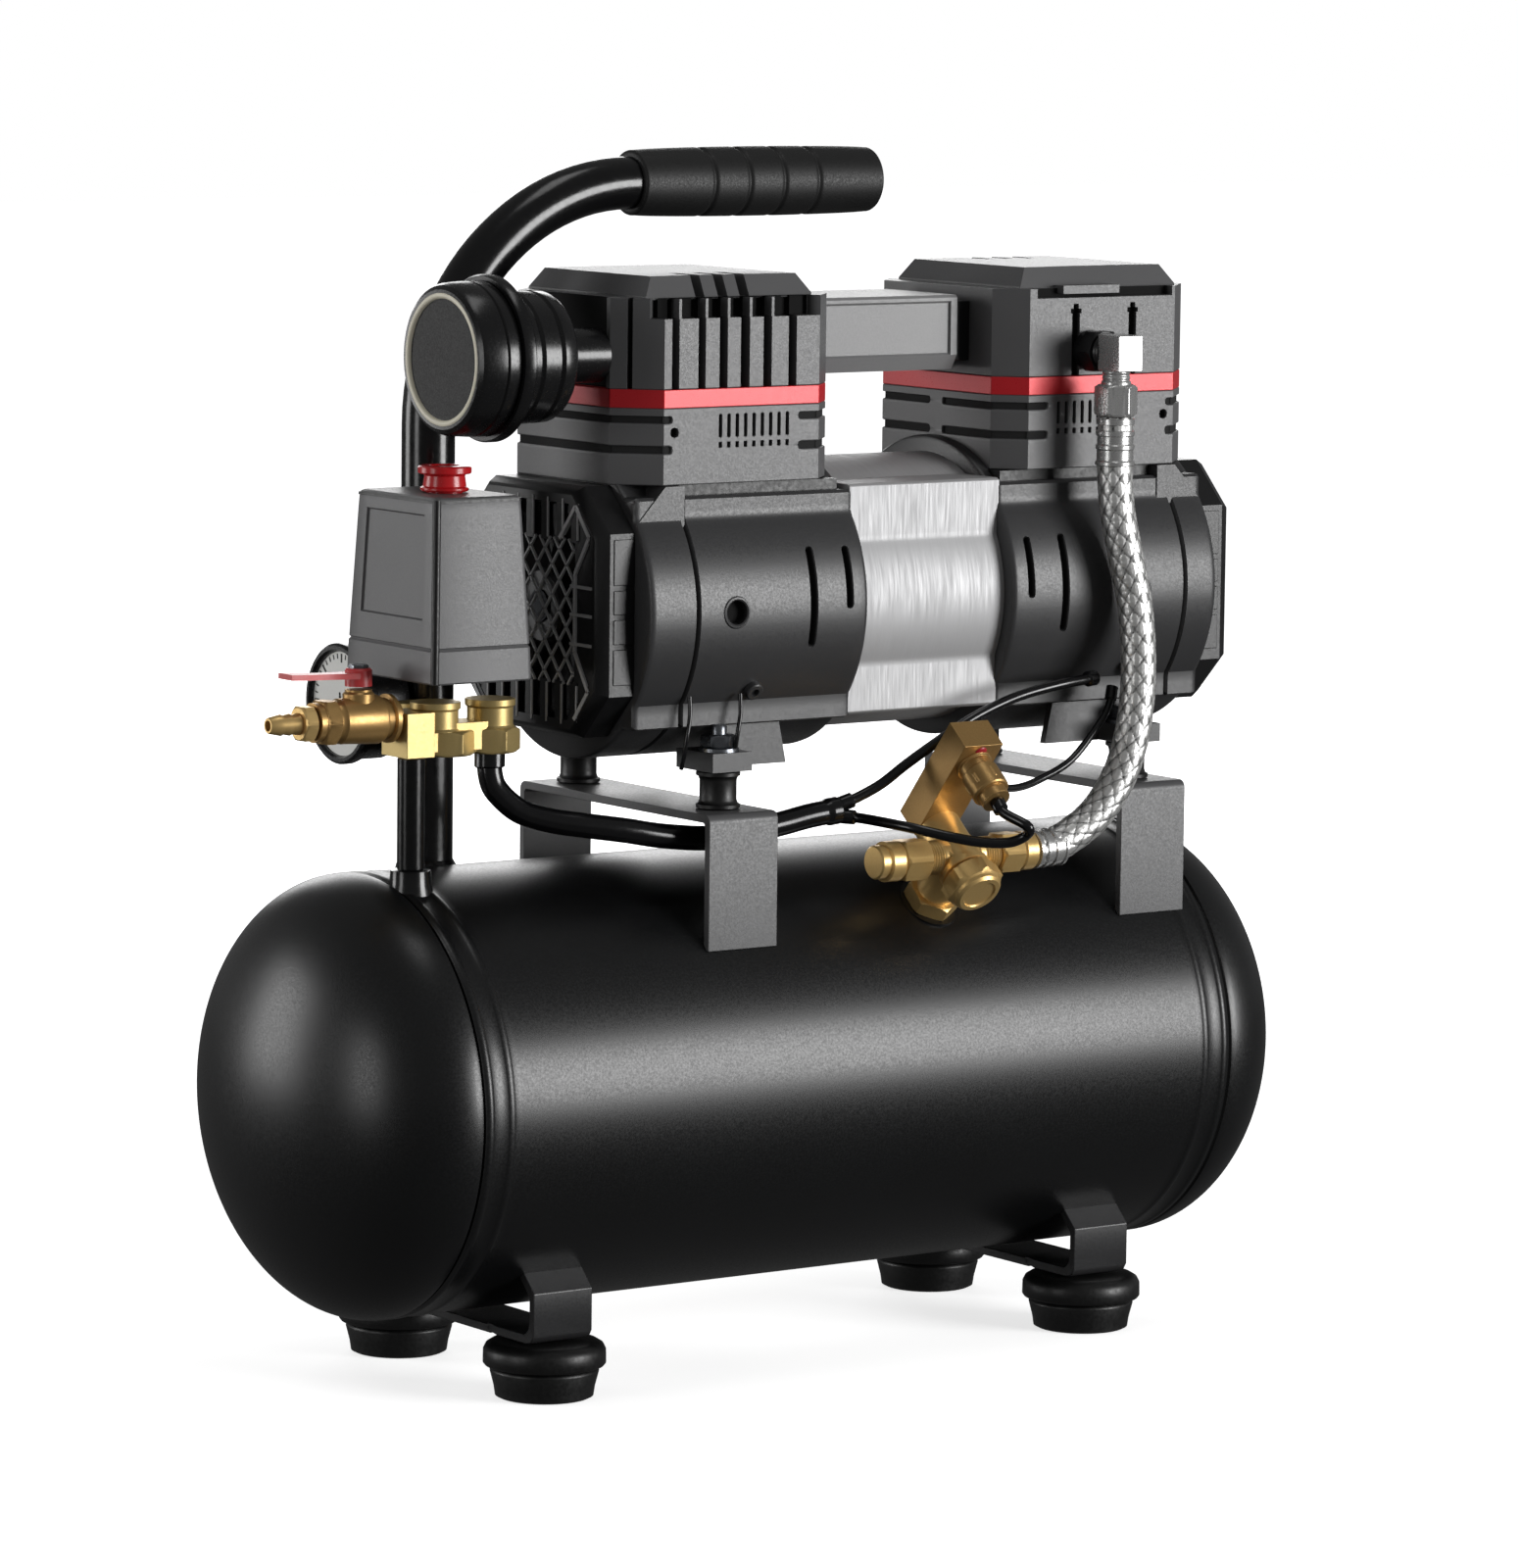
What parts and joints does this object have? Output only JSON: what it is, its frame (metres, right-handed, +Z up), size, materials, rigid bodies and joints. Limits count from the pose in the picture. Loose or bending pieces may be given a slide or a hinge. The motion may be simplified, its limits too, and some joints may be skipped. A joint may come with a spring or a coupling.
{
  "type": "twin-head oil-free air compressor",
  "caption": "Portable oil-free air compressor: twin-head pump and motor rubber-mounted on a horizontal tank, with pressure switch, outlet valve, braided hose and carrying handle.",
  "frame": {"origin": "middle of the footprint, on the floor under the feet", "axes": "+Z up, +X along the tank from the pressure switch end to the hose end, -Y to the front, where the check valve is"},
  "size_m": [0.4328, 0.1862, 0.4397],
  "materials": {
    "tank_enamel": "gloss black stoved enamel on steel",
    "steel_enamel": "satin dark grey powder coat on steel",
    "rubber": "matt moulded rubber",
    "foam": "matt nitrile foam",
    "tube_enamel": "gloss black enamel on steel tube",
    "stator_aluminium": "satin, lightly blasted",
    "shaft_steel": "ground",
    "crankcase_enamel": "satin black paint on die-cast aluminium",
    "shroud_plastic": "satin grey paint on die-cast aluminium",
    "red_plate": "satin red anodised",
    "cast_aluminium": "as cast",
    "black_plastic": "satin moulded nylon",
    "fittings_chrome": "polished plating",
    "steel_braid": "woven stainless wire",
    "brass": "machined",
    "cable_jacket": "black flexible plastic",
    "switch_plastic": "moulded grey ABS",
    "knob_red": "gloss red moulded plastic",
    "needle_paint": "matt black paint"
  },
  "bodies": {
    "frame": {"braided_hose": "steel_braid", "check_valve_body": "brass", "check_valve_cap": "brass", "crankcase_left": "crankcase_enamel", "crankcase_right": "crankcase_enamel", "crossover": "shroud_plastic", "cylinder_left": "shroud_plastic", "cylinder_right": "shroud_plastic", "drain_valve": "brass", "fan_cover_left": "black_plastic", "fan_cover_right": "black_plastic", "foot_front_left": "rubber", "foot_front_right": "rubber", "foot_rear_left": "rubber", "foot_rear_right": "rubber", "foot_strap_left": "steel_enamel", "foot_strap_right": "steel_enamel", "gauge_case": "black_plastic", "handle_grip": "foam", "handle_tube": "tube_enamel", "head_left": "shroud_plastic", "head_right": "shroud_plastic", "hose_barb": "brass", "isolator_front_left": "rubber", "isolator_front_right": "rubber", "isolator_rear_left": "rubber", "isolator_rear_right": "rubber", "manifold": "brass", "motor_cable": "cable_jacket", "motor_stator": "stator_aluminium", "outlet_elbow": "fittings_chrome", "outlet_valve": "brass", "pilot_tube": "cable_jacket", "pump_bracket_left": "steel_enamel", "pump_bracket_right": "steel_enamel", "riser_pipe": "tube_enamel", "safety_valve": "brass", "silencer_body": "black_plastic", "silencer_cap": "black_plastic", "switch_base": "switch_plastic", "switch_cover": "switch_plastic", "tank_end_left": "tank_enamel", "tank_end_right": "tank_enamel", "tank_shell": "tank_enamel", "unloader_block": "brass", "unloader_tube": "cable_jacket", "valve_plate_left": "red_plate", "valve_plate_right": "red_plate", "wiring_conduit": "cable_jacket"},
    "rotor": {"rotor_shaft": "shaft_steel", "fan_left": "black_plastic", "fan_right": "black_plastic"},
    "piston_left": {"piston_left": "cast_aluminium"},
    "piston_right": {"piston_right": "cast_aluminium"},
    "switch_knob": {"switch_knob": "knob_red"},
    "valve_lever": {"valve_lever": "knob_red"},
    "gauge_needle": {"gauge_needle": "needle_paint"},
    "safety_ring": {"safety_ring": "fittings_chrome"},
    "drain_knob": {"drain_knob": "brass"},
    "check_valve_poppet": {"check_valve_poppet": "brass"}
  },
  "joints": [
    {"name": "rotor_spin", "type": "hinge", "parent": "frame", "child": "rotor", "pos_m": [0.04815, 0.0131, 0.277], "axis": [1, 0, 0], "continuous": true},
    {"name": "piston_left_orbit", "type": "hinge", "parent": "rotor", "child": "piston_left", "pos_m": [-0.03515, 0.0131, 0.283], "axis": [1, 0, 0], "continuous": true},
    {"name": "piston_right_orbit", "type": "hinge", "parent": "rotor", "child": "piston_right", "pos_m": [0.13145, 0.0131, 0.271], "axis": [1, 0, 0], "continuous": true},
    {"name": "switch_knob_travel", "type": "slide", "parent": "frame", "child": "switch_knob", "axis": [0, 0, 1], "range_m": [0, 0.006]},
    {"name": "valve_lever_turn", "type": "hinge", "parent": "frame", "child": "valve_lever", "pos_m": [-0.17935, -0.0069, 0.2425], "axis": [0, 0, 1], "range_deg": [0, 90]},
    {"name": "gauge_needle_turn", "type": "hinge", "parent": "frame", "child": "gauge_needle", "pos_m": [-0.15635, 0.0446, 0.242], "axis": [1, 0, 0], "range_deg": [0, 270]},
    {"name": "safety_ring_pull", "type": "slide", "parent": "frame", "child": "safety_ring", "axis": [0, 0, -1], "range_m": [0, 0.002], "stiffness_N_per_m": 400},
    {"name": "drain_knob_turn", "type": "hinge", "parent": "frame", "child": "drain_knob", "pos_m": [0.00165, 0.06484, 0.03766], "axis": [0, -0.6088, 0.7934], "range_deg": [0, 180]},
    {"name": "check_valve_lift", "type": "slide", "parent": "frame", "child": "check_valve_poppet", "axis": [0, -0.6428, 0.766], "range_m": [0, 0.002], "stiffness_N_per_m": 50}
  ],
  "couplings": [
    {"joint": "piston_left_orbit", "follows": "rotor_spin", "ratio": -1},
    {"joint": "piston_right_orbit", "follows": "rotor_spin", "ratio": -1}
  ]
}
